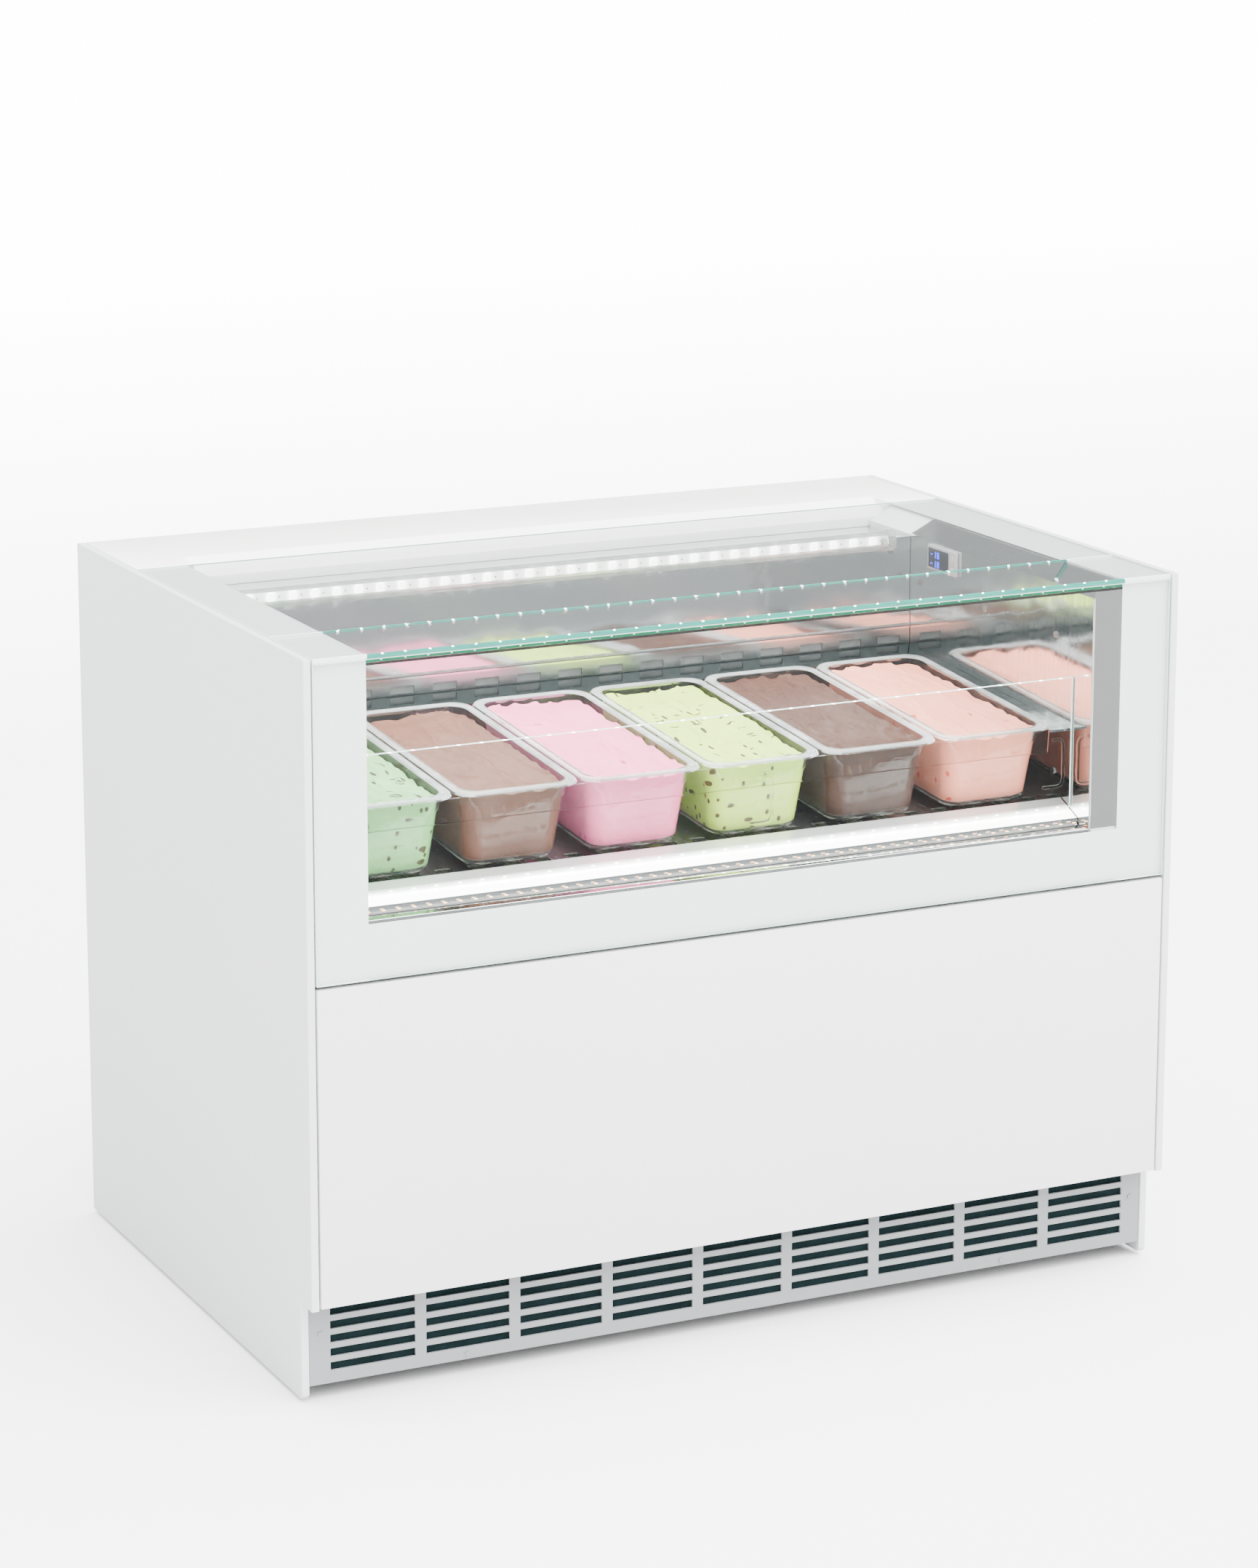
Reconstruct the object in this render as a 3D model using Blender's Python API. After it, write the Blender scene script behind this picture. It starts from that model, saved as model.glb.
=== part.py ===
import bpy
import bmesh
from math import cos, pi, radians, sin
from mathutils import Matrix, Vector

# overall size, metres: x across, y from front to back, z up from the floor
HALF_W = 0.600
FRONT = -0.400
BACK = 0.400
TOP = 0.928
BOARD = 0.010
GAP = 0.0003

# side boards
BOARD_FOOT = 0.005
NOTCH_TOP = 0.129
NOTCH_DEPTH = 0.036

# glass
GLASS = 0.006
GLASS_HALF = 0.588
GLASS_FOOT = 0.532
PANE_SPLIT = -0.263
TOP_PANE_FRONT = -0.261
TOP_PANE_BACK = 0.196

# cavity
WALL_LEFT = -0.564
WALL_RIGHT = 0.480
WALL_BACK = 0.078
DECK_TOP = 0.618

# gelato pans, hung on a sloping rail
PANS = 6
PAN_W = 0.165
PAN_L = 0.360
PAN_DEPTH = 0.100
PAN_PITCH = 0.1675
PAN_FIRST = -0.45975
RIM_FRONT = -0.336
RIM_HEIGHT = 0.727
SLOPE = radians(4.4)
RIM = 0.012

# grille
GRILLE_COLUMNS = 9
GRILLE_ROWS = 5
SLOT_W = 0.112
SLOT_PITCH_X = 0.1264
SLOT_H = 0.0103
SLOT_PITCH_Z = 0.0176
SLOT_FIRST_Z = 0.0365

WHITE = (0.83, 0.84, 0.84)
STEEL = (0.62, 0.63, 0.64)
FOAM = (0.86, 0.84, 0.74)


def clearScene():
    for item in list(bpy.data.objects):
        bpy.data.objects.remove(item, do_unlink=True)


def paint(name, colour, rough, metal=0.0):
    mat = bpy.data.materials.new(name)
    mat.use_nodes = True
    bsdf = mat.node_tree.nodes["Principled BSDF"]
    bsdf.inputs["Base Color"].default_value = (*colour, 1.0)
    bsdf.inputs["Roughness"].default_value = rough
    bsdf.inputs["Metallic"].default_value = metal
    mat.diffuse_color = (*colour, 1.0)
    return mat


def place(name, bm, colour, rough, metal=0.0, origin=(0, 0, 0), smooth=False, bevel=0.0, segments=1):
    bmesh.ops.recalc_face_normals(bm, faces=bm.faces)
    bmesh.ops.translate(bm, verts=bm.verts, vec=-Vector(origin))
    mesh = bpy.data.meshes.new(name)
    bm.to_mesh(mesh)
    bm.free()
    item = bpy.data.objects.new(name, mesh)
    item.location = origin
    bpy.context.scene.collection.objects.link(item)
    mesh.materials.append(paint(name + "_mat", colour, rough, metal))
    if smooth:
        mesh.polygons.foreach_set("use_smooth", [True] * len(mesh.polygons))
    if bevel:
        mod = item.modifiers.new("edges", "BEVEL")
        mod.width = bevel
        mod.segments = segments
        mod.limit_method = "ANGLE"
        mod.angle_limit = radians(40)
    return item


def block(bm, low, high):
    size = [b - a for a, b in zip(low, high)]
    mid = [(a + b) / 2 for a, b in zip(low, high)]
    matrix = Matrix.Translation(mid) @ Matrix.Diagonal((*size, 1.0))
    return bmesh.ops.create_cube(bm, size=1.0, matrix=matrix)["verts"]


def box(name, low, high, colour, rough, metal=0.0, **more):
    bm = bmesh.new()
    block(bm, low, high)
    return place(name, bm, colour, rough, metal, **more)


def swap(axis, along, a, b):
    if axis == "X":
        return (along, a, b)
    if axis == "Y":
        return (a, along, b)
    return (a, b, along)


# a flat outline pushed along one axis
def prism(bm, outline, axis, low, high):
    face = bm.faces.new([bm.verts.new(swap(axis, low, a, b)) for a, b in outline])
    made = bmesh.ops.extrude_face_region(bm, geom=[face])["geom"]
    verts = [v for v in made if isinstance(v, bmesh.types.BMVert)]
    bmesh.ops.translate(bm, verts=verts, vec=swap(axis, high - low, 0, 0))


# a plate cut into cells by two lists of breaks, less the cells that are open
def slotted(bm, us, vs, opened, axis, low, high):
    made = bmesh.ops.create_grid(bm, x_segments=len(us) - 1, y_segments=len(vs) - 1, size=0.5)
    verts = made["verts"]
    for vert in verts:
        i = round((vert.co.x + 0.5) * (len(us) - 1))
        j = round((vert.co.y + 0.5) * (len(vs) - 1))
        vert.co = Vector((i, j, 0))
    gone = []
    for face in bm.faces:
        mid = face.calc_center_median()
        if (int(mid.x), int(mid.y)) in opened:
            gone.append(face)
    bmesh.ops.delete(bm, geom=gone, context="FACES")
    for vert in bm.verts:
        vert.co = swap(axis, low, us[round(vert.co.x)], vs[round(vert.co.y)])
    made = bmesh.ops.extrude_face_region(bm, geom=bm.faces[:])["geom"]
    moved = [v for v in made if isinstance(v, bmesh.types.BMVert)]
    bmesh.ops.translate(bm, verts=moved, vec=swap(axis, high - low, 0, 0))


def breaks(start, end, first, wide, pitch, count):
    out = [start]
    for k in range(count):
        out += [first + k * pitch, first + k * pitch + wide]
    return out + [end]


# closed skin through a row of equal loops
def loft(bm, loops, ring=False):
    rows = [[bm.verts.new(p) for p in loop] for loop in loops]
    count = len(rows[0])
    pairs = list(zip(rows, rows[1:]))
    if ring:
        pairs.append((rows[-1], rows[0]))
    for a, b in pairs:
        for k in range(count):
            n = (k + 1) % count
            bm.faces.new((a[k], a[n], b[n], b[k]))
    if not ring:
        bm.faces.new(rows[0])
        bm.faces.new(rows[-1])


def circle(axis, along, a, b, radius, seg, turn=0.0):
    out = []
    for k in range(seg):
        t = turn + 2 * pi * k / seg
        out.append(swap(axis, along, a + radius * cos(t), b + radius * sin(t)))
    return out


# turned solid: profile of (along, radius)
def turned(bm, profile, axis, a, b, seg):
    loft(bm, [circle(axis, along, a, b, r, seg) for along, r in profile])


def roundRect(wide, long, radius, seg):
    out = []
    corners = ((1, 1, 0), (-1, 1, 90), (-1, -1, 180), (1, -1, 270))
    for sx, sy, start in corners:
        cx = sx * (wide / 2 - radius)
        cy = sy * (long / 2 - radius)
        for k in range(seg + 1):
            t = radians(start + 90 * k / seg)
            out.append((cx + radius * cos(t), cy + radius * sin(t)))
    return out


def slopePoint(x, s, n):
    return (x, RIM_FRONT + s * cos(SLOPE) - n * sin(SLOPE), RIM_HEIGHT + s * sin(SLOPE) + n * cos(SLOPE))


# outline in (x, s) on the rail's slope, thick from n0 to n1
def slopePrism(bm, outline, n0, n1):
    loft(bm, [[slopePoint(x, s, n) for x, s in outline] for n in (n0, n1)])


def sideBoard(name, inner, outer):
    cut = 0.005
    outline = [
        (FRONT, NOTCH_TOP), (FRONT + NOTCH_DEPTH, NOTCH_TOP),
        (FRONT + NOTCH_DEPTH, BOARD_FOOT + cut), (FRONT + NOTCH_DEPTH + cut, BOARD_FOOT),
        (BACK, BOARD_FOOT), (BACK, TOP), (FRONT, TOP),
    ]
    bm = bmesh.new()
    prism(bm, outline, "X", min(inner, outer), max(inner, outer))
    place(name, bm, WHITE, 0.35, bevel=0.0014, segments=2)


def buildShell():
    sideBoard("side_panel_left", -HALF_W + BOARD, -HALF_W)
    sideBoard("side_panel_right", HALF_W - BOARD, HALF_W)
    box("front_panel", (-0.5875, FRONT, 0.131), (0.5875, FRONT + 0.018, 0.5275), WHITE, 0.4,
        bevel=0.001, segments=2)

    first = -(SLOT_PITCH_X * (GRILLE_COLUMNS - 1) + SLOT_W) / 2
    us = breaks(-0.5895, 0.5895, first, SLOT_W, SLOT_PITCH_X, GRILLE_COLUMNS)
    vs = breaks(0.0205, 0.150, SLOT_FIRST_Z, SLOT_H, SLOT_PITCH_Z, GRILLE_ROWS)
    opened = {(2 * i + 1, 2 * j + 1) for i in range(GRILLE_COLUMNS) for j in range(GRILLE_ROWS)}
    bm = bmesh.new()
    slotted(bm, us, vs, opened, "Y", -0.362, -0.359)
    place("kick_grille", bm, (0.56, 0.57, 0.58), 0.45)

    tray = [
        (-0.355, 0.025), (-0.353, 0.025), (-0.353, 0.045), (0.370, 0.045),
        (0.370, 0.025), (0.372, 0.025), (0.372, 0.048), (-0.355, 0.048),
    ]
    bm = bmesh.new()
    prism(bm, tray, "X", -0.589, 0.589)
    place("base_tray", bm, STEEL, 0.45, 0.8)

    foot = [
        (0.0, 0.022), (0.003, 0.025), (0.008, 0.018), (0.010, 0.007), (0.032, 0.007),
        (0.0325, 0.012), (0.040, 0.012), (0.0405, 0.007), (0.0447, 0.007),
    ]
    for name, x, y in (("foot_front_left", -0.54, -0.27), ("foot_front_right", 0.54, -0.27),
                       ("foot_rear_left", -0.54, 0.31), ("foot_rear_right", 0.54, 0.31)):
        bm = bmesh.new()
        turned(bm, foot, "Z", x, y, 12)
        place(name, bm, (0.07, 0.07, 0.075), 0.5, smooth=True)

    us = breaks(-0.5895, 0.5895, -0.50, 0.22, 0.26, 4)
    vs = breaks(0.055, 0.530, 0.10, 0.010, 0.026, 7)
    opened = {(2 * i + 1, 2 * j + 1) for i in range(4) for j in range(7)}
    bm = bmesh.new()
    slotted(bm, us, vs, opened, "Y", 0.3785, 0.380)
    place("rear_service_panel", bm, (0.78, 0.79, 0.79), 0.4)
    box("rear_upper_panel", (-0.5895, 0.3785, 0.533), (0.5895, 0.380, 0.891), WHITE, 0.4)

    # worktop, its front edge scooped so fingers reach under the pane
    loops = []
    for x, z in ((-0.5885, TOP), (-0.512, TOP), (-0.508, 0.906), (0.510, 0.906), (0.514, TOP), (0.5885, TOP)):
        loops.append([(x, 0.198, 0.892), (x, 0.198, z), (x, 0.248, TOP), (x, BACK, TOP), (x, BACK, 0.892)])
    bm = bmesh.new()
    loft(bm, loops)
    place("worktop", bm, (0.88, 0.88, 0.87), 0.3)


def buildTub():
    box("tub_floor", (-0.5875, -0.381, 0.542), (0.5875, 0.345, 0.597), FOAM, 0.7)
    step = [(-0.391, 0.5975), (0.2895, 0.5975), (0.2895, 0.8895), (0.1955, 0.8895), (0.1955, 0.9214),
            (-0.391, 0.9214)]
    bm = bmesh.new()
    prism(bm, step, "X", -0.5875, -0.566)
    place("tub_wall_left", bm, WHITE, 0.5)
    tall = [(0.482, 0.5975), (0.5875, 0.5975), (0.5875, 0.9214), (0.5192, 0.9214), (0.5192, 0.9200),
            (0.482, 0.9013)]
    low = [(0.482, 0.5975), (0.5875, 0.5975), (0.5875, 0.8895), (0.5192, 0.8895), (0.5152, 0.8895),
           (0.482, 0.8895)]
    bm = bmesh.new()
    loft(bm, [[(x, y, z) for x, z in side]
              for y, side in ((-0.391, tall), (0.1955, tall), (0.1965, low), (0.2895, low))])
    place("tub_wall_right", bm, WHITE, 0.5)
    box("tub_wall_rear", (-0.5875, 0.290, 0.5975), (0.5875, 0.345, 0.8895), FOAM, 0.7)

    box("liner_left", (-0.5655, -0.388, 0.5975), (WALL_LEFT, 0.0765, 0.920), STEEL, 0.08, 1.0)
    bm = bmesh.new()
    outline = [
        (WALL_RIGHT, 0.5975), (WALL_RIGHT + 0.0015, 0.5975), (WALL_RIGHT + 0.0015, 0.9018),
        (0.5185, 0.9204), (0.5145, 0.9204), (WALL_RIGHT, 0.9035),
    ]
    prism(bm, outline, "Y", -0.388, 0.0765)
    place("liner_right", bm, STEEL, 0.08, 1.0)

    us = breaks(-0.5655, 0.4815, -0.530, 0.034, 0.0600, 17)
    vs = [0.5975, 0.758, 0.768, 0.8975]
    bm = bmesh.new()
    slotted(bm, us, vs, {(2 * i + 1, 1) for i in range(17)}, "Y", 0.078, 0.0795)
    place("liner_rear", bm, STEEL, 0.08, 1.0)
    bm = bmesh.new()
    prism(bm, [(0.078, 0.898), (0.1975, 0.8910), (0.1975, 0.8925), (0.078, 0.8995)], "X", -0.5655, 0.4815)
    place("duct_cover", bm, STEEL, 0.12, 1.0)

    us = breaks(-0.5635, 0.4795, -0.552, 0.020, 0.0435, 24)
    vs = [-0.318, -0.312, -0.262, -0.2, 0.02, 0.077]
    opened = {(2 * i + 1, 1) for i in range(24)}
    bm = bmesh.new()
    slotted(bm, us, vs, opened, "Z", DECK_TOP - 0.0015, DECK_TOP)
    place("cavity_deck", bm, STEEL, 0.12, 1.0)

    sill = [(-0.3905, 0.5975), (-0.3905, 0.603), (-0.363, 0.603), (-0.363, 0.611), (-0.320, 0.629),
            (-0.3185, 0.629), (-0.3185, 0.5975)]
    bm = bmesh.new()
    prism(bm, sill, "X", -0.5635, 0.4795)
    place("front_sill", bm, STEEL, 0.1, 1.0)
    box("front_led_strip", (-0.555, -0.3705, 0.6033), (0.471, -0.3635, 0.6095), (0.95, 0.95, 0.9), 0.3,
        bevel=0.0008)
    box("air_deflector", (-0.563, -0.346, 0.6222), (0.479, -0.342, 0.793), (0.85, 0.9, 0.88), 0.05,
        bevel=0.0006)


def buildRails():
    rail = [(WALL_LEFT + 0.0005, 0.0), (-0.535, 0.0), (-0.535, 0.353), (0.453, 0.353), (0.453, 0.0),
            (WALL_RIGHT - 0.0005, 0.0), (WALL_RIGHT - 0.0005, 0.412), (WALL_LEFT + 0.0005, 0.412)]
    bm = bmesh.new()
    slopePrism(bm, rail, -0.0063, -0.0033)
    place("pan_rail", bm, STEEL, 0.12, 1.0)
    bar = [(-0.5345, 0.003), (0.4525, 0.003), (0.4525, 0.007), (-0.5345, 0.007)]
    bm = bmesh.new()
    slopePrism(bm, bar, -0.034, -0.0033)
    place("pan_rail_front", bm, (0.85, 0.88, 0.87), 0.06)


def panLoops(wide, long, radius, n):
    mid = PAN_L / 2
    return [(x, mid + s, n) for x, s in roundRect(wide, long, radius, 3)]


def buildPans():
    names = ("mint", "chocolate", "pink", "pistachio", "dark_chocolate", "peach")
    tints = ((0.62, 0.86, 0.66), (0.36, 0.19, 0.13), (0.88, 0.55, 0.76), (0.72, 0.80, 0.42),
             (0.33, 0.17, 0.12), (0.92, 0.66, 0.58))
    topW = PAN_W - 2 * RIM
    topL = PAN_L - 2 * RIM
    for k in range(PANS):
        mid = PAN_FIRST + k * PAN_PITCH
        pivot = slopePoint(mid, PAN_L / 2, 0.0)
        shape = [
            (topW - 0.020, topL - 0.020, 0.016, -PAN_DEPTH),
            (topW - 0.008, topL - 0.008, 0.021, -PAN_DEPTH + 0.007),
            (topW, topL, 0.024, -0.003),
            (PAN_W, PAN_L, 0.030, -0.003),
            (PAN_W, PAN_L, 0.030, 0.0),
            (topW - 0.004, topL - 0.004, 0.022, 0.0),
            (topW - 0.013, topL - 0.013, 0.018, -PAN_DEPTH + 0.008),
            (topW - 0.023, topL - 0.023, 0.013, -PAN_DEPTH + 0.0025),
        ]
        bm = bmesh.new()
        loops = [[slopePoint(mid + x, s, n) for x, s, n in panLoops(w, l, r, n)] for w, l, r, n in shape]
        loft(bm, loops)
        place("pan_%d" % (k + 1), bm, (0.82, 0.85, 0.85), 0.08, origin=pivot)
        fill = [
            (topW - 0.0245, topL - 0.0245, 0.013, -PAN_DEPTH + 0.0029),
            (topW - 0.0144, topL - 0.0144, 0.018, -PAN_DEPTH + 0.0086),
            (topW - 0.0068, topL - 0.0068, 0.0225, -0.017),
            (topW - 0.0140, topL - 0.0140, 0.018, -0.0105),
            (topW - 0.0420, topL - 0.0560, 0.012, -0.0075),
        ]
        bm = bmesh.new()
        loops = [[slopePoint(mid + x, s, n) for x, s, n in panLoops(w, l, r, n)] for w, l, r, n in fill]
        loft(bm, loops)
        place("gelato_" + names[k], bm, tints[k], 0.55, origin=pivot, smooth=True)


def buildLight():
    seg = 16
    y, z = 0.055, 0.9015
    bm = bmesh.new()
    loft(bm, [circle("X", -0.505, y, z, 0.013, seg), circle("X", 0.425, y, z, 0.013, seg),
              circle("X", 0.425, y, z, 0.0115, seg), circle("X", -0.505, y, z, 0.0115, seg)], ring=True)
    place("led_tube", bm, (0.93, 0.95, 0.95), 0.1, smooth=True)
    box("led_board", (-0.503, y + 0.0035, z - 0.006), (0.423, y + 0.0055, z + 0.006), (0.95, 0.95, 0.9), 0.4)
    for name, low, high in (("led_cap_left", -0.518, -0.5053), ("led_cap_right", 0.4253, 0.438)):
        outline = []
        for k in range(13):
            t = radians(50 + 260 * k / 12)
            outline.append((y + 0.0142 * cos(t), z + 0.0142 * sin(t)))
        outline += [(0.0777, z - 0.0142), (0.0777, z - 0.0045), (0.0717, z - 0.0045), (0.0717, z + 0.0105)]
        bm = bmesh.new()
        prism(bm, outline, "X", low, high)
        place(name, bm, (0.80, 0.82, 0.83), 0.25)


def buildThermostat():
    bm = bmesh.new()
    us = [-0.051, -0.0475, -0.0395, 0.023]
    vs = [0.8655, 0.8695, 0.8775, 0.886, 0.894, 0.8985]
    slotted(bm, us, vs, set(), "X", 0.4797, 0.4750)
    wells = []
    for face in bm.faces:
        mid = face.calc_center_median()
        inside = us[1] < mid.y < us[2] and (vs[1] < mid.z < vs[2] or vs[3] < mid.z < vs[4])
        if mid.x < 0.4751 and inside:
            wells.append(face)
    made = bmesh.ops.extrude_discrete_faces(bm, faces=wells)["faces"]
    for face in made:
        bmesh.ops.translate(bm, verts=face.verts, vec=(0.0030, 0, 0))
    place("thermostat", bm, (0.55, 0.56, 0.57), 0.35)
    for name, low in (("button_down", 0.8695), ("button_up", 0.886)):
        at = (0.4757, -0.0435, low + 0.004)
        box(name, (0.4742, -0.0471, low + 0.0004), (0.4772, -0.0399, low + 0.0076), (0.75, 0.76, 0.77), 0.4,
            origin=at, bevel=0.0005)


def buildPanes():
    hinge = (0.0, -0.397, 0.535)
    box("front_glass", (-GLASS_HALF, FRONT, GLASS_FOOT), (GLASS_HALF, FRONT + GLASS, TOP - GLASS - GAP),
        (0.75, 0.88, 0.84), 0.03, origin=hinge, bevel=0.0005)
    box("front_top_pane", (-GLASS_HALF, FRONT, TOP - GLASS), (GLASS_HALF, PANE_SPLIT, TOP),
        (0.75, 0.88, 0.84), 0.03, origin=hinge, bevel=0.0005)
    profile = [(-0.3937, 0.5305), (-0.3917, 0.5305), (-0.3917, 0.560), (-0.3937, 0.560)]
    bm = bmesh.new()
    prism(bm, profile, "X", -0.5855, 0.5855)
    place("glass_hinge_profile", bm, (0.5, 0.51, 0.52), 0.3, 1.0, origin=hinge)
    lift = (0.0, TOP_PANE_FRONT + 0.003, TOP - GLASS / 2)
    box("top_glass", (-GLASS_HALF, TOP_PANE_FRONT, TOP - GLASS), (GLASS_HALF, TOP_PANE_BACK, TOP),
        (0.75, 0.88, 0.84), 0.03, origin=lift, bevel=0.0005)


def comb(bm, axis, low, high, start, end, root, tip, back, fins):
    pitch = (end - start) / (2 * fins - 1)
    outline = [(start, back), (start, tip)]
    for k in range(fins):
        a = start + 2 * k * pitch
        if k:
            outline += [(a, root), (a, tip)]
        outline.append((a + pitch, tip))
        if k < fins - 1:
            outline.append((a + pitch, root))
    outline.append((end, back))
    prism(bm, outline, axis, low, high)


def fan(name, along, a, b, hub, tip, blades, deep):
    bm = bmesh.new()
    front = along - deep / 2
    profile = [(front, hub * 0.75), (front + 0.003, hub), (along + deep / 2, hub)]
    turned(bm, profile, "Y", a, b, blades * 2)
    sides = [f for f in bm.faces if len(f.verts) == 4 and f.calc_center_median().y > front + 0.003]
    for face in sides[::2]:
        out = face.calc_center_median() - Vector((a, along, b))
        out.y = 0.0
        out.normalize()
        side = out.cross(Vector((0, 1, 0)))
        blade = bmesh.ops.extrude_discrete_faces(bm, faces=[face])["faces"][0]
        middle = blade.calc_center_median()
        bmesh.ops.rotate(bm, verts=blade.verts, cent=middle, matrix=Matrix.Rotation(radians(28), 3, out))
        bmesh.ops.translate(bm, verts=blade.verts, vec=out * (tip - hub - 0.004))
        middle = blade.calc_center_median()
        for vert in blade.verts:
            off = vert.co - middle
            vert.co += side * off.dot(side) * 0.9
            vert.co.y = middle.y + off.y * 0.75
    place(name, bm, (0.10, 0.10, 0.11), 0.5, origin=(a, along, b))


# plate with one round hole
def shroud(name, low, high, x0, x1, z0, z1, a, b, radius):
    loops = []
    for y in (low, high):
        hole = circle("Y", y, a, b, radius, 16)
        outer = []
        for x, _, z in hole:
            dx = (x - a) / radius
            dz = (z - b) / radius
            reach = []
            if abs(dx) > 1e-6:
                reach.append(((x1 - a) if dx > 0 else (a - x0)) / abs(dx))
            if abs(dz) > 1e-6:
                reach.append(((z1 - b) if dz > 0 else (b - z0)) / abs(dz))
            outer.append((a + dx * min(reach), y, b + dz * min(reach)))
        loops += [hole, outer] if y == low else [outer, hole]
    bm = bmesh.new()
    loft(bm, loops, ring=True)
    place(name, bm, (0.5, 0.51, 0.52), 0.4, 0.6)


def buildCold():
    bm = bmesh.new()
    comb(bm, "Z", 0.630, 0.770, -0.42, 0.42, 0.230, 0.175, 0.250, 14)
    place("evaporator_coil", bm, (0.72, 0.73, 0.74), 0.35, 0.9)
    fan("evaporator_fan", 0.118, 0.0, 0.700, 0.024, 0.068, 6, 0.020)
    shroud("evaporator_shroud", 0.140, 0.142, -0.42, 0.42, 0.620, 0.780, 0.0, 0.700, 0.072)

    bm = bmesh.new()
    comb(bm, "Z", 0.0485, 0.330, -0.10, 0.46, -0.295, -0.345, -0.285, 14)
    place("condenser_coil", bm, (0.66, 0.67, 0.68), 0.4, 0.9)
    shroud("condenser_shroud", -0.2815, -0.279, -0.10, 0.46, 0.0485, 0.330, 0.18, 0.190, 0.125)
    fan("condenser_fan", -0.252, 0.18, 0.190, 0.038, 0.118, 5, 0.036)

    can = [
        (0.0485, 0.085), (0.058, 0.098), (0.150, 0.100), (0.156, 0.104), (0.164, 0.104), (0.170, 0.100),
        (0.225, 0.096), (0.250, 0.072), (0.258, 0.030),
    ]
    bm = bmesh.new()
    turned(bm, can, "Z", 0.20, 0.10, 20)
    place("compressor", bm, (0.06, 0.06, 0.065), 0.35, smooth=True)
    box("electrical_box", (-0.50, 0.10, 0.0485), (-0.26, 0.30, 0.230), (0.62, 0.63, 0.64), 0.45,
        bevel=0.003, segments=2)


def buildControls():
    bm = bmesh.new()
    us = [0.420, 0.429, 0.451, 0.460]
    vs = [0.700, 0.713, 0.745, 0.758]
    slotted(bm, us, vs, set(), "Y", 0.3803, 0.396)
    wells = []
    for face in bm.faces:
        mid = face.calc_center_median()
        if mid.y > 0.3959 and us[1] < mid.x < us[2] and vs[1] < mid.z < vs[2]:
            wells.append(face)
    made = bmesh.ops.extrude_discrete_faces(bm, faces=wells)["faces"]
    bmesh.ops.translate(bm, verts=made[0].verts, vec=(0, -0.0125, 0))
    place("switch_housing", bm, (0.05, 0.05, 0.055), 0.4)

    pivot = Vector((0.440, 0.391, 0.729))
    outline = [(-0.004, -0.0145), (0.004, -0.0145), (0.0025, 0.0), (0.004, 0.0145), (-0.004, 0.0145)]
    bm = bmesh.new()
    prism(bm, outline, "X", -0.010, 0.010)
    bmesh.ops.rotate(bm, verts=bm.verts, cent=(0, 0, 0), matrix=Matrix.Rotation(radians(-7), 3, "X"))
    bmesh.ops.translate(bm, verts=bm.verts, vec=pivot)
    place("light_switch", bm, (0.08, 0.08, 0.085), 0.35, origin=pivot)

    gland = [(0.3803, 0.016), (0.384, 0.016), (0.3845, 0.011), (0.392, 0.011), (0.394, 0.008)]
    bm = bmesh.new()
    turned(bm, gland, "Y", -0.52, 0.075, 12)
    place("power_inlet_gland", bm, (0.06, 0.06, 0.065), 0.5, smooth=True)


def main():
    clearScene()
    buildShell()
    buildTub()
    buildRails()
    buildPans()
    buildLight()
    buildThermostat()
    buildPanes()
    buildCold()
    buildControls()


main()
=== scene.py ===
from math import cos, pi, radians, sin
import bpy
import bmesh
from mathutils import Matrix, Vector, noise


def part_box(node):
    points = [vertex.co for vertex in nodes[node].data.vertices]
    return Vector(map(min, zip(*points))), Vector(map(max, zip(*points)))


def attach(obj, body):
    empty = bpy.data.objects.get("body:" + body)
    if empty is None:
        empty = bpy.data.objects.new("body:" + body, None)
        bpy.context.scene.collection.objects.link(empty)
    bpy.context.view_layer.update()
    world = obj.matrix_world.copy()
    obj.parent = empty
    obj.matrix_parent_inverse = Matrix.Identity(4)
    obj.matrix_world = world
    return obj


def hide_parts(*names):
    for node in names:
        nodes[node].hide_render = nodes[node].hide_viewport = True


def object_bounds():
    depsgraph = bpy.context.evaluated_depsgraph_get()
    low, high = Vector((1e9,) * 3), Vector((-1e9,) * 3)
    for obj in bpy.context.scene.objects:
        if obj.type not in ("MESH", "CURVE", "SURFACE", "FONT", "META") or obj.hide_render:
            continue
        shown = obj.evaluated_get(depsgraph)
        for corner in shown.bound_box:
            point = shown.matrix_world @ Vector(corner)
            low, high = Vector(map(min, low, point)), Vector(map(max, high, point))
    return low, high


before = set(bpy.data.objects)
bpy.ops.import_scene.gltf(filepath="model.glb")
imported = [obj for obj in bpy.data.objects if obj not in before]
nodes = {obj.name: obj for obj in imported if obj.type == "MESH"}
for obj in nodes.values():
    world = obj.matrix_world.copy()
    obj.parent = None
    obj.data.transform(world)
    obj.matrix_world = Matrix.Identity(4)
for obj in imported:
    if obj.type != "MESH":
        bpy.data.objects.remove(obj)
cadLow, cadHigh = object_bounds()
print("frame loaded:", len(nodes), "nodes")


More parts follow.
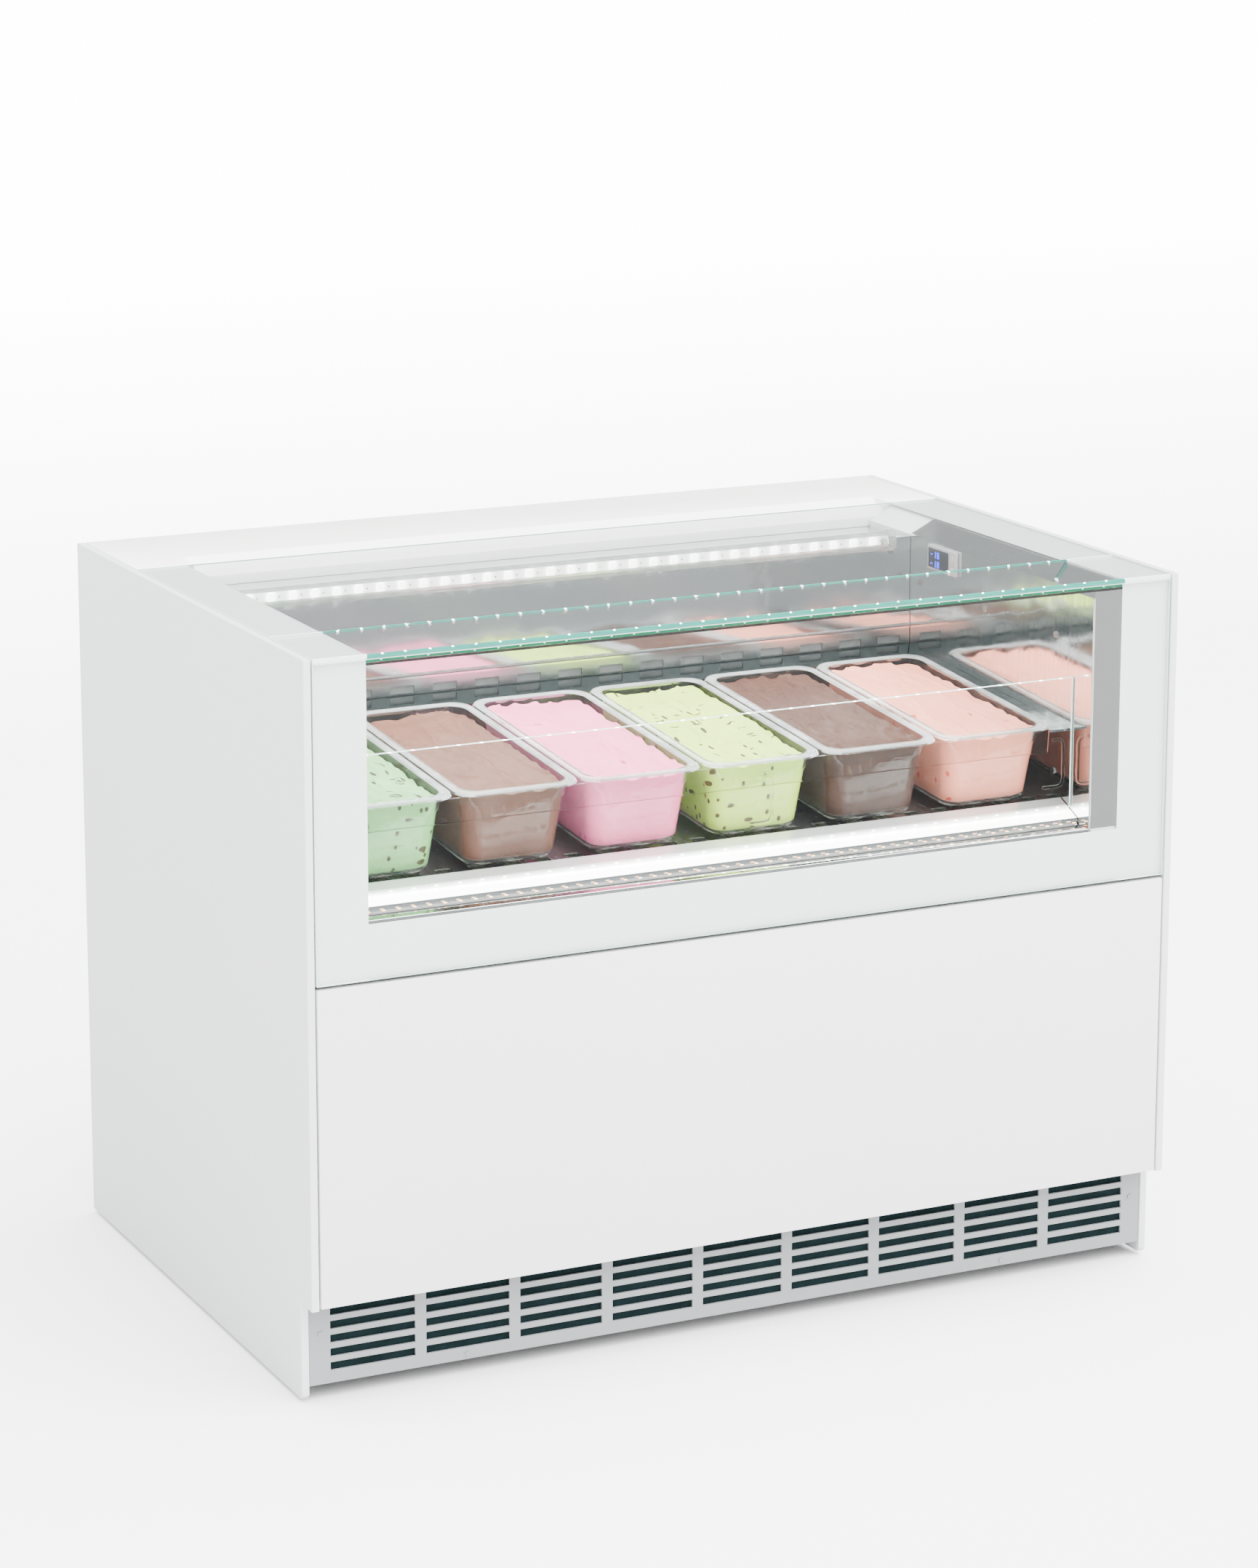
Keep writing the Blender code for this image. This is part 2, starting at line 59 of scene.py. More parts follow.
class Value:
    def __init__(self, shade, socket):
        self.shade = shade
        self.socket = socket

    def maths(self, operation, first, second=None):
        values = {0: first} if second is None else {0: first, 1: second}
        return self.shade.node("ShaderNodeMath", {"operation": operation}, values)

    def __add__(self, other):
        return self.maths("ADD", self, other)

    def __radd__(self, other):
        return self.maths("ADD", other, self)

    def __sub__(self, other):
        return self.maths("SUBTRACT", self, other)

    def __rsub__(self, other):
        return self.maths("SUBTRACT", other, self)

    def __mul__(self, other):
        return self.maths("MULTIPLY", self, other)

    def __rmul__(self, other):
        return self.maths("MULTIPLY", other, self)

    def __truediv__(self, other):
        return self.maths("DIVIDE", self, other)

    def __gt__(self, other):
        return self.maths("GREATER_THAN", self, other)

    def __lt__(self, other):
        return self.maths("LESS_THAN", self, other)

    def power(self, other):
        return self.maths("POWER", self, other)

    def fract(self):
        return self.maths("FRACT", self)

    def size(self):
        return self.maths("ABSOLUTE", self)

    def ramp(self, low, high, start=0.0, end=1.0):
        return self.shade.node("ShaderNodeMapRange", {"clamp": True}, {
            "Value": self, "From Min": low, "From Max": high, "To Min": start, "To Max": end})

    def part(self, index):
        return Value(self.shade, self.socket.node.outputs[index])


class Shade:
    def __init__(self, name, kind="materials"):
        self.mat = getattr(bpy.data, kind).new(name)
        self.mat.use_nodes = True
        self.tree = self.mat.node_tree
        self.tree.nodes.clear()
        place = "Object" if kind == "materials" else "Generated"
        self.here = self.node("ShaderNodeTexCoord").part(place)
        self.xyz = None

    # any node: its type, its settings, then values or links by socket name or number
    def node(self, kind, settings=None, values=None):
        made = self.tree.nodes.new(kind)
        for key, value in (settings or {}).items():
            setattr(made, key, value)
        for key, value in (values or {}).items():
            socket = made.inputs[key]
            if isinstance(value, Value):
                self.tree.links.new(value.socket, socket)
            elif socket.type == "RGBA" and len(value) == 3:
                socket.default_value = (*value, 1.0)
            else:
                socket.default_value = value
        return Value(self, made.outputs[0] if made.outputs else None)

    def axis(self, index):
        if self.xyz is None:
            self.xyz = self.node("ShaderNodeSeparateXYZ", None, {0: self.here})
        return self.xyz.part(index)

    def stretched(self, scale, place=(0, 0, 0)):
        return self.node("ShaderNodeMapping", None, {
            "Vector": self.here, "Scale": scale, "Location": place})

    def noise(self, scale, detail=3.0, rough=0.5, twist=0.0, vector=None):
        return self.node("ShaderNodeTexNoise", None, {
            "Vector": vector or self.here, "Scale": scale, "Detail": detail, "Roughness": rough,
            "Distortion": twist})

    def blend(self, factor, first, second):
        made = self.node("ShaderNodeMix", {"data_type": "RGBA"}, {0: factor, 6: first, 7: second})
        return made.part(2)

    def bump(self, height, strength, distance, under=None):
        values = {"Height": height, "Strength": strength, "Distance": distance}
        if under is not None:
            values["Normal"] = under
        return self.node("ShaderNodeBump", None, values)

    def principled(self, values):
        return self.node("ShaderNodeBsdfPrincipled", None, values)

    def mixed(self, factor, first, second):
        return self.node("ShaderNodeMixShader", None, {0: factor, 1: first, 2: second})

    def done(self, shader, kind="Material"):
        self.node("ShaderNodeOutput" + kind, None, {"Surface": shader})
        return self.mat


# sprayed or laminated white and grey faces: faint cloudiness that greys them slightly in patches,
# orange peel
def coated(name, colour, rough=0.38, peel=0.12, grain=900, shade=0.03, coat=0.0):
    s = Shade(name)
    cloud = s.noise(2.3, 4.0, 0.55)
    fine = s.noise(grain, 2.0, 0.6)
    dark = tuple(c * (1 - shade * 2.2) for c in colour)
    tone = s.blend(cloud.ramp(0.25, 0.8), colour, dark)
    smear = s.noise(9.0, 5.0, 0.7, 0.6)
    gloss = rough + (smear - 0.5) * 0.14
    bent = s.bump(fine, peel, 0.0004)
    return s.done(s.principled({
        "Base Color": tone, "Roughness": gloss, "Normal": bent, "Coat Weight": coat,
        "Coat Roughness": 0.12}))


# polished stainless: long soft ripples, cleaning streaks
def polished(name, colour=(0.79, 0.80, 0.80), rough=0.05, ripple=0.35, streak=(1.5, 40.0, 3.0)):
    s = Shade(name)
    wave = s.noise(7.0, 2.0, 0.5, 0.4)
    lines = s.noise(6.0, 4.0, 0.6, 0.0, s.stretched(streak))
    tone = s.blend(lines.ramp(0.3, 0.75), colour, tuple(c * 0.86 for c in colour))
    gloss = rough + lines.ramp(0.35, 0.8, 0.0, 0.10)
    bent = s.bump(wave, ripple, 0.004, s.bump(lines, 0.05, 0.0003))
    return s.done(s.principled({
        "Base Color": tone, "Metallic": 1.0, "Roughness": gloss, "Normal": bent}))


# plain sheet or cast metal, moulded plastic
def plain(name, colour, rough=0.5, metal=0.0, grain=350, depth=0.25, vary=0.25, streak=(1, 1, 1),
          shine=0.5):
    s = Shade(name)
    spread = s.noise(30.0, 5.0, 0.65, 0.0, s.stretched(streak))
    fine = s.noise(grain, 3.0, 0.6, 0.0, s.stretched(streak))
    tone = s.blend(spread.ramp(0.3, 0.75), colour, tuple(c * (1 - vary) for c in colour))
    gloss = rough + (spread - 0.5) * 0.22
    return s.done(s.principled({
        "Base Color": tone, "Roughness": gloss, "Metallic": metal, "Specular IOR Level": shine,
        "Normal": s.bump(fine, depth, 0.0003)}))


# thin clear tube: what is behind it, a mirror share that grows at the rim of sight, faint haze
def clearTube(name, tint, shine, haze, rough, milk=(0.9, 0.93, 0.92), ior=1.45):
    s = Shade(name)
    wipe = s.noise(5.0, 4.0, 0.6, 0.8, s.stretched((1.0, 2.6, 1.0)))
    edge = s.node("ShaderNodeFresnel", None, {"IOR": ior})
    through = s.node("ShaderNodeBsdfTransparent", None, {"Color": tint})
    mirror = s.node("ShaderNodeBsdfGlossy", None, {"Color": (0.95, 0.97, 0.96), "Roughness": rough})
    cloud = s.node("ShaderNodeBsdfDiffuse", None, {"Color": milk})
    clear = s.mixed(edge * shine, through, mirror)
    return s.done(s.mixed(wipe.ramp(0.2, 0.9, haze * 0.5, haze * 1.5), clear, cloud))


# solid clear stuff that bends light and lets the lamps through; film is a faint cloud on its skin
def solidClear(name, tint, ior, film=0.0, ripple=0.0, scale=30.0):
    s = Shade(name)
    path = s.node("ShaderNodeLightPath")
    values = {"Color": tint, "IOR": ior, "Roughness": 0.0}
    if ripple:
        values["Normal"] = s.bump(s.noise(scale, 2.0, 0.5, 0.3), ripple, 0.001)
    bending = s.node("ShaderNodeBsdfGlass", None, values)
    through = s.node("ShaderNodeBsdfTransparent", None, {"Color": tint})
    lit = path.maths("MAXIMUM", path.part("Is Shadow Ray"), path.part("Is Diffuse Ray"))
    shader = s.mixed(lit, bending, through)
    if film:
        wipe = s.noise(6.0, 4.0, 0.6, 0.8, s.stretched((1.0, 2.6, 1.0)))
        cloud = s.node("ShaderNodeBsdfDiffuse", None, {"Color": (0.93, 0.95, 0.95)})
        shader = s.mixed(wipe.ramp(0.25, 0.85, film * 0.4, film * 1.6), shader, cloud)
    return s.done(shader)


# ground pane edge: green between the printed borders, pale over them, with a painted glow on the
# green and a row of painted glints of the lamps along its top
def paneEdge(name, green, pale, limit, glow=0.2, points=0.0, floor=-1.0, pitch=0.030, width=0.062):
    s = Shade(name)
    x = s.axis(0)
    over = x.size() > limit
    cloud = s.noise(22.0, 3.0, 0.6, 0.0, s.stretched((1.0, 6.0, 6.0)))
    clear = s.blend(cloud.ramp(0.3, 0.75), green, tuple(c * 0.75 for c in green))
    spot = ((x / pitch + cloud * 0.3).fract() - 0.5).size().ramp(width, width * 0.4)
    spot = spot * (1.0 - over) * (s.axis(2) > floor)
    # painted light: a faint glow of the green edge, and at each spot a painted glint of a lamp
    light = s.blend(spot, tuple(c * glow for c in green), (points, points, points * 0.96))
    return s.done(s.principled({
        "Base Color": s.blend(over, clear, pale), "Roughness": 0.12 + cloud * 0.15,
        "Emission Color": s.blend(over, light, (0.0, 0.0, 0.0)), "Emission Strength": 1.0}))


# steel with the light of the lamp strip beside it painted on as a glow in streaks, none behind the
# strip
def paintedFlood(name, strength):
    s = Shade(name)
    lines = s.noise(5.0, 4.0, 0.6, 0.0, s.stretched((0.8, 30.0, 30.0)))
    light = s.blend(lines.ramp(0.3, 0.7), (strength, strength * 0.99, strength * 0.96),
                    (strength * 0.55, strength * 0.55, strength * 0.54))
    light = s.blend(s.axis(1).ramp(-0.350, -0.334), light, (0.0, 0.0, 0.0))
    return s.done(s.principled({
        "Base Color": (0.8, 0.8, 0.79), "Metallic": 0.7, "Roughness": 0.22 + lines * 0.15,
        "Emission Color": light, "Emission Strength": 1.0}))


# polished rear wall, rougher along the air slots at the back of the pans and darker there with
# painted shade
def rearWall(name, colour, slotShade, low, high):
    s = Shade(name)
    wave = s.noise(7.0, 2.0, 0.5, 0.4)
    lines = s.noise(6.0, 4.0, 0.6, 0.0, s.stretched((1.5, 3.0, 40.0)))
    band = s.axis(2).ramp(low, high)
    steel = s.blend(lines.ramp(0.3, 0.75), colour, tuple(c * 0.86 for c in colour))
    # painted shade along the slot band
    tone = s.blend(band, slotShade, steel)
    return s.done(s.principled({
        "Base Color": tone, "Metallic": 1.0,
        "Roughness": band.ramp(0.0, 1.0, 0.16, 0.04) + lines * 0.08,
        "Normal": s.bump(wave, 0.35, 0.004)}))


# lamp board: a painted glow all along it, and a painted pool of light round each lamp
def paintedLampPools(name, start, pitch, low, high):
    s = Shade(name)
    off = (((s.axis(0) - start) / pitch + 0.5).fract() - 0.5).size()
    paintedPool = off.ramp(0.40, 0.04).power(2.2)
    light = s.blend(paintedPool, (low, low * 0.99, low * 0.97), (high, high * 0.99, high * 0.96))
    return s.done(s.principled({
        "Base Color": (0.9, 0.9, 0.88), "Roughness": 0.4, "Emission Color": light,
        "Emission Strength": 1.0}))


# one steady light all over: lamps, digits
def glowing(name, colour, strength, base=(0.9, 0.9, 0.88)):
    s = Shade(name)
    return s.done(s.principled({
        "Base Color": base, "Roughness": 0.35, "Emission Color": colour,
        "Emission Strength": strength}))


# soft ice: drawn-out spatula marks, small pits, optional flecks
def softIce(name, light, dark, fleck=None, amount=0.0, wet=0.12, shine=0.3):
    s = Shade(name)
    drawn = s.noise(26.0, 5.0, 0.6, 0.5, s.stretched((1.0, 0.35, 1.0)))
    cloud = s.noise(11.0, 3.0, 0.5)
    tone = s.blend(drawn.ramp(0.28, 0.72), light, dark)
    pale = tuple(min(1.0, c * 1.12 + 0.03) for c in light)
    tone = s.blend(cloud.ramp(0.45, 0.8, 0.0, 0.45), tone, pale)
    fine = s.noise(420.0, 3.0, 0.65)
    holes = s.node("ShaderNodeTexVoronoi", {"feature": "F1"}, {"Vector": s.here, "Scale": 150.0})
    dent = holes.ramp(0.0, 0.32)
    bent = s.bump(fine, 0.22, 0.0006, s.bump(drawn, 0.75, 0.0030, s.bump(dent, 0.175, 0.0009)))
    rough = 0.42 + drawn.ramp(0.3, 0.7, -0.08, 0.16)
    if fleck:
        for k, (stretch, scale) in enumerate((((1.0, 0.28, 0.7), 105.0), ((0.3, 1.0, 0.6), 120.0))):
            seed = s.node("ShaderNodeTexVoronoi", {"feature": "F1"}, {
                "Vector": s.stretched(stretch, (0.13 * k, 0.07, 0.21 * k)), "Scale": scale})
            chance = s.node("ShaderNodeSeparateColor", None, {0: seed.part("Color")})
            mask = (seed < 0.27) * (chance > (1.0 - amount))
            tone = s.blend(mask, tone, fleck)
    return s.done(s.principled({
        "Base Color": tone, "Roughness": rough, "Normal": bent, "Coat Weight": wet,
        "Coat Roughness": 0.28, "Specular IOR Level": shine}))


# coil made of stacked fins
def stackedFins(name, colour, pitch, axisIndex):
    s = Shade(name)
    line = ((s.axis(axisIndex) / pitch).fract() - 0.5).size()
    tone = s.blend(line.ramp(0.18, 0.34), tuple(c * 0.35 for c in colour), colour)
    cloud = s.noise(14.0, 3.0, 0.6)
    return s.done(s.principled({
        "Base Color": tone, "Roughness": 0.35 + cloud * 0.2, "Metallic": 0.9,
        "Normal": s.bump(line.ramp(0.2, 0.34), 0.6, 0.001)}))


overPrint = (0.62, 0.72, 0.70)    # a pane's edge where it is printed white behind

# each entry: name of the material, colour, then the maker's other measures in its order
finishes = {
    "board": coated("boardWhite", (0.560, 0.571, 0.578), 0.40, 0.08, 700, 0.012),
    "panel": coated("panelWhite", (0.630, 0.630, 0.627), 0.45, 0.16, 1100, 0.012),
    "sheet": coated("sheetWhite", (0.79, 0.80, 0.80), 0.42, 0.2, 1000, 0.02),
    "top": coated("worktopWhite", (0.875, 0.875, 0.862), 0.30, 0.06, 500, 0.012, 0.2),
    "wall": coated("wallWhite", (0.82, 0.83, 0.825), 0.45, 0.1, 800),
    "foam": coated("foamSkin", (0.80, 0.78, 0.68), 0.7, 0.4, 300, 0.05),
    "grille": coated("grilleGrey", (0.200, 0.207, 0.213), 0.45, 0.2, 1200, 0.02),
    "print": coated("printWhite", (0.580, 0.610, 0.604), 0.25, 0.02, 600, 0.008),
    "zinc": plain("zincSheet", (0.56, 0.57, 0.58), 0.42, 0.85, 120, 0.15, 0.3),
    "mirror": polished("mirrorSteel"),
    "deck": polished("deckSteel", (0.80, 0.82, 0.81), 0.20, 0.25, (30.0, 2.0, 2.0)),
    "railSteel": polished("railSteel", (0.34, 0.37, 0.38), 0.08, 0.3),
    # warm tint: a painted reflection of the peach pan on the return
    "returnSteel": polished("returnSteel", (0.90, 0.83, 0.81), 0.08, 0.3),
    "satin": plain("satinSteel", (0.42, 0.43, 0.44), 0.32, 1.0, 500, 0.12, 0.15, (0.05, 1, 1)),
    "black": plain("blackPlastic", (0.018, 0.018, 0.020), 0.48, 0.0, 900, 0.3, 0.3),
    "filter": plain("filterMesh", (0.004, 0.011, 0.012), 0.85, 0.0, 1400, 0.6, 0.4, shine=0.06),
    "mesh": plain("ductMesh", (0.20, 0.21, 0.205), 0.40, 0.5, 1400, 0.6, 0.4),
    "rubber": plain("footRubber", (0.03, 0.03, 0.032), 0.62, 0.0, 600, 0.3, 0.25),
    "greyPlastic": plain("greyPlastic", (0.42, 0.43, 0.44), 0.40, 0.0, 900, 0.2, 0.12),
    "keys": plain("keyPlastic", (0.55, 0.56, 0.57), 0.42, 0.0, 900, 0.2, 0.1),
    "screen": plain("screenGlass", (0.006, 0.008, 0.020), 0.12, 0.0, 200, 0.02, 0.2),
    "enamel": plain("blackEnamel", (0.012, 0.012, 0.013), 0.28, 0.0, 300, 0.15, 0.3),
    "copper": plain("copperPipe", (0.72, 0.36, 0.22), 0.30, 1.0, 300, 0.12, 0.3),
    "fins": stackedFins("finStack", (0.66, 0.67, 0.68), 0.0035, 2),
    "seal": plain("sealGrey", (0.20, 0.21, 0.21), 0.55, 0.0, 500, 0.2, 0.2),
    "glass": solidClear("paneGlass", (0.985, 0.996, 0.992), 1.17),
    "acrylic": solidClear("clearStrip", (0.985, 0.993, 0.99), 1.18),
    "pan": solidClear("panClear", (0.99, 0.995, 0.995), 1.18, 0.012, 0.22, 40.0),
    "tube": clearTube("tubeClear", (0.97, 0.985, 0.98), 1.1, 0.10, 0.05),
    # pane and strip edges: painted glow, and painted glints of the lamps along their tops
    "frontEdge": paneEdge("frontEdge", (0.022, 0.20, 0.155), overPrint, 0.5195, 0.25, 14.0, 0.9264),
    "jointEdge": paneEdge("jointEdge", (0.03, 0.20, 0.16), overPrint, 0.5195, 0.25, 12.0, 0.9225),
    "plainEdge": paneEdge("plainEdge", (0.40, 0.52, 0.49), overPrint, 0.5195),
    "glueLine": paneEdge("glueLine", (0.003, 0.12, 0.055), (0.3, 0.4, 0.38), 0.6, 0.5, 3.0, 0.9180,
                         width=0.05),
    "stripEdge": paneEdge("stripEdge", (0.62, 0.74, 0.71), (0.7, 0.78, 0.75), 0.6, 0.25, 26.0, 0.0,
                          width=0.085),
    "lamp": glowing("lampDots", (1.0, 0.99, 0.95), 420.0),
    "lampBoard": paintedLampPools("lampBoard", -0.490, 0.030, 2.4, 16.0),
    "stripLamp": glowing("stripLamp", (1.0, 0.62, 0.40), 5.0, (0.7, 0.4, 0.2)),
    "stripBoard": plain("stripBoard", (0.30, 0.30, 0.29), 0.4, 0.3, 600, 0.2, 0.3),
    "sillPaintedLight": paintedFlood("sillPaintedLight", 17.0),
    "rearSteel": rearWall("rearSteel", (0.80, 0.81, 0.81), (0.36, 0.385, 0.385), 0.7755, 0.7790),
    "panRim": solidClear("panRim", (0.99, 0.995, 0.995), 1.36, 0.20, 0.5, 60.0),
    # the dark under the glue line is a painted shadow
    "gap": plain("glueShadowDark", (0.020, 0.017, 0.015), 0.5, 0.0, 600, 0.2, 0.3),
    "digits": glowing("blueDigits", (0.03, 0.07, 1.0), 6.0, (0.02, 0.03, 0.3)),
}
ices = {    # light, dark, fleck and how many flecks, in the order the pans stand
    "mint": ((0.25, 0.50, 0.20), (0.20, 0.43, 0.16), (0.040, 0.034, 0.010), 0.30),
    "chocolate": ((0.165, 0.066, 0.041), (0.125, 0.049, 0.030), None, 0.0),
    "pink": ((0.88, 0.22, 0.38), (0.78, 0.16, 0.31), (0.45, 0.03, 0.15), 0.03),
    "pistachio": ((0.52, 0.68, 0.12), (0.43, 0.60, 0.09), (0.060, 0.042, 0.008), 0.30),
    "dark_chocolate": ((0.074, 0.025, 0.013), (0.055, 0.018, 0.010), None, 0.0),
    "peach": ((0.83, 0.31, 0.22), (0.74, 0.24, 0.16), (0.45, 0.05, 0.03), 0.02),
}
for name, (light, dark, fleck, amount) in ices.items():
    finishes[name] = softIce(name + "Ice", light, dark, fleck, amount)
    # side faces of the ice take a darker copy of its colours: painted shade, a little richer in
    # tone
    sideShadedLight, sideShadedDark = (tuple(0.74 * c ** 1.1 for c in tone) for tone in (light, dark))
    finishes[name + "Side"] = softIce(name + "IceSide", sideShadedLight, sideShadedDark, fleck, amount, 0.0, 0.08)
print("finishes made:", len(finishes))


# turn a bmesh into a named piece riding on a body; smooth is the angle of its sharp edges
def finish(name, bm, body, mats, stands=(), smooth=None):
    bmesh.ops.recalc_face_normals(bm, faces=bm.faces)
    mesh = bpy.data.meshes.new(name)
    bm.to_mesh(mesh)
    bm.free()
    piece = bpy.data.objects.new(name, mesh)
    bpy.context.scene.collection.objects.link(piece)
    for mat in mats if isinstance(mats, (list, tuple)) else [mats]:
        mesh.materials.append(finishes[mat])
    if smooth is not None:
        mesh.polygons.foreach_set("use_smooth", [True] * len(mesh.polygons))
        mesh.set_sharp_from_angle(angle=radians(smooth))
    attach(piece, body)
    if stands:
        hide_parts(*stands)
    return piece


def addBox(bm, low, high, mat=0, ease=0.0, segments=2):
    low, high = Vector(low), Vector(high)
    matrix = Matrix.Translation((low + high) / 2) @ Matrix.Diagonal((*(high - low), 1.0))
    verts = bmesh.ops.create_cube(bm, size=1.0, matrix=matrix)["verts"]
    faces = {f for v in verts for f in v.link_faces}
    for face in faces:
        face.material_index = mat
    if ease:
        edges = list({e for f in faces for e in f.edges})
        bmesh.ops.bevel(bm, geom=edges, offset=ease, affect="EDGES", segments=segments, profile=0.5,
                        material=-1)


# round bar along X or Y; taper is the radius of its far end
def addRod(bm, radius, deep, centre, axis, segments=16, taper=None):
    turn = {"X": Matrix.Rotation(pi / 2, 4, "Y"), "Y": Matrix.Rotation(-pi / 2, 4, "X")}[axis]
    bmesh.ops.create_cone(bm, cap_ends=True, segments=segments, radius1=radius,
                          radius2=radius if taper is None else taper, depth=deep,
                          matrix=Matrix.Translation(centre) @ turn)


# round bar that follows a path, ring by ring
def addPipe(bm, path, radius, segments=10):
    ring = None
    for k, spot in enumerate(path):
        ahead = (path[min(k + 1, len(path) - 1)] - path[max(k - 1, 0)]).normalized()
        matrix = Matrix.Translation(spot) @ ahead.to_track_quat("Z", "Y").to_matrix().to_4x4()
        made = bmesh.ops.create_circle(bm, cap_ends=k in (0, len(path) - 1), segments=segments,
                                       radius=radius, matrix=matrix)["verts"]
        around = {e for v in made for e in v.link_edges}
        edges = [e for e in around if all(v in made for v in e.verts)]
        if ring:
            bmesh.ops.bridge_loops(bm, edges=ring + edges)
        ring = edges


# path through the points with its corners rounded
def rounded(points, radius, steps=5):
    path = [Vector(p) for p in points]
    out = [path[0]]
    for a, b, c in zip(path, path[1:], path[2:]):
        start = b + (a - b).normalized() * radius
        end = b + (c - b).normalized() * radius
        for k in range(steps + 1):
            t = k / steps
            out.append(start * (1 - t) ** 2 + b * 2 * t * (1 - t) + end * t * t)
    return out + [path[-1]]


# copy of a CAD piece with its edges eased
def eased(name, node, body, mats, width, segments=2, limit=30):
    bm = bmesh.new()
    bm.from_mesh(nodes[node].data)
    bmesh.ops.remove_doubles(bm, verts=bm.verts, dist=1e-5)
    bmesh.ops.dissolve_limit(bm, angle_limit=radians(1), verts=bm.verts, edges=bm.edges)
    sharp = radians(limit)
    edges = [e for e in bm.edges if len(e.link_faces) == 2 and e.calc_face_angle(0) > sharp]
    bmesh.ops.bevel(bm, geom=edges, offset=width, affect="EDGES", segments=segments, profile=0.5,
                    material=-1, clamp_overlap=True)
    bmesh.ops.triangulate(bm, faces=[f for f in bm.faces if len(f.verts) > 4])
    return finish(name, bm, body, mats, (node,), smooth=35)


# upright sheet cut to an outline in X and Z
def addSheet(bm, points, y, thick):
    face = bm.faces.new([bm.verts.new((x, y, z)) for x, z in points])
    moved = fresh(bmesh.ops.extrude_face_region(bm, geom=[face])["geom"])
    bmesh.ops.translate(bm, verts=moved, vec=(0, thick, 0))


# the vertices among what an extrusion made
def fresh(made):
    return [v for v in made if isinstance(v, bmesh.types.BMVert)]


# the open edges among them
def rimOf(made):
    return [e for e in made if isinstance(e, bmesh.types.BMEdge) and e.is_boundary]


# give CAD pieces that stay as they are their finish
def dress(mat, *names):
    for name in names:
        data = nodes[name].data
        data.materials.clear()
        data.materials.append(finishes[mat])


studio = {"eye": (-2.417, -4.981, 2.011), "turn": 25.591, "tip": 11.984, "lens": 99.89,
          "shift": (0.0208, -0.1), "horizon": 0.5, "zenith": 7.0, "front": 0.6, "key": 13.0,
          "keyFrom": (0.28, -0.38, 0.88), "floor": (0.84, 0.84, 0.84), "sweep": (3.0, 10.0, 9.0),
          "mirrored": (0.10, 0.105, 0.11)}


def buildStudio():
    data = bpy.data.cameras.new("view")
    camera = bpy.data.objects.new("view", data)
    bpy.context.scene.collection.objects.link(camera)
    data.lens = studio["lens"]
    data.sensor_width = 36.0
    data.shift_x, data.shift_y = studio["shift"]
    camera.location = studio["eye"]
    camera.rotation_euler = (radians(90 - studio["tip"]), 0.0, radians(-studio["turn"]))
    bpy.context.scene.camera = camera

    s = Shade("studio", "worlds")    # bright soft room; polished faces meet a dimmer one
    height = s.axis(2).ramp(0.0, 1.0)
    room = studio["horizon"] + height * (studio["zenith"] - studio["horizon"])
    room = room + (s.axis(0) * 0.6 - s.axis(1) * 0.8).ramp(0.0, 1.0, 0.0, studio["front"])
    aim = Vector(studio["keyFrom"]).normalized()
    facing = s.axis(0) * aim.x + s.axis(1) * aim.y + s.axis(2) * aim.z
    room = room + facing.ramp(0.0, 1.0).power(4.0) * studio["key"]
    light = s.node("ShaderNodeBackground", None, {"Color": (1.0, 1.0, 1.0), "Strength": room})
    dim = s.node("ShaderNodeBackground", None, {"Color": (0.97, 0.99, 1.0), "Strength": height.ramp(
        0.0, 0.8, 0.22, 1.0)})
    path = s.node("ShaderNodeLightPath")
    bpy.context.scene.world = s.done(s.mixed(path.part("Is Glossy Ray"), light, dim), "World")

    bm = bmesh.new()
    bmesh.ops.create_circle(bm, cap_ends=True, segments=96, radius=45.0)
    mesh = bpy.data.meshes.new("floor")
    bm.to_mesh(mesh)
    bm.free()
    floor = bpy.data.objects.new("floor", mesh)
    bpy.context.scene.collection.objects.link(floor)
    s = Shade("floorWhite")    # plain sweep, lit more strongly towards the back
    near, far, glow = studio["sweep"]
    cloud = s.noise(0.6, 2.0, 0.5)
    behind = s.axis(1).ramp(near, far) * (0.97 + cloud * 0.06)
    bright = s.principled({
        "Base Color": studio["floor"], "Roughness": 0.7,
        "Emission Color": s.blend(behind, (0.0, 0.0, 0.0), (glow, glow, glow)),
        "Emission Strength": 1.0})
    dark = s.node("ShaderNodeBsdfDiffuse", None, {"Color": studio["mirrored"]})
    path = s.node("ShaderNodeLightPath")
    mesh.materials.append(s.done(s.mixed(path.part("Is Glossy Ray"), bright, dark)))
    print("studio ready")


panes = {"half": 0.588, "thick": 0.006, "face": -0.400, "foot": 0.532, "split": -0.263,
         "topFront": -0.261, "topBack": 0.196, "grind": 0.0008,
         "clearLeft": -0.519, "clearRight": 0.519, "clearFoot": 0.600, "topRight": 0.515,
         "inset": 0.001, "border": -0.3938, "printed": 0.0003,
         "seal": ((-0.585, -0.3912, 0.5620), (0.585, -0.3835, 0.5700)),
         "glue": ((0.0052, 0.0), (0.0085, 0.0054)), "jointGap": 0.0006}


# one pane; its front and side edges take the first edge finish, its rear edge the second
def buildPane(name, low, high, body, node, edges, flat):
    bm = bmesh.new()
    addBox(bm, low, high, 0, panes["grind"], 1)
    for face in bm.faces:
        if abs(face.normal[flat]) < 0.99:
            face.material_index = 1 + (face.normal.y > 0.3)
    finish(name, bm, body, ["glass", *edges], (node,))


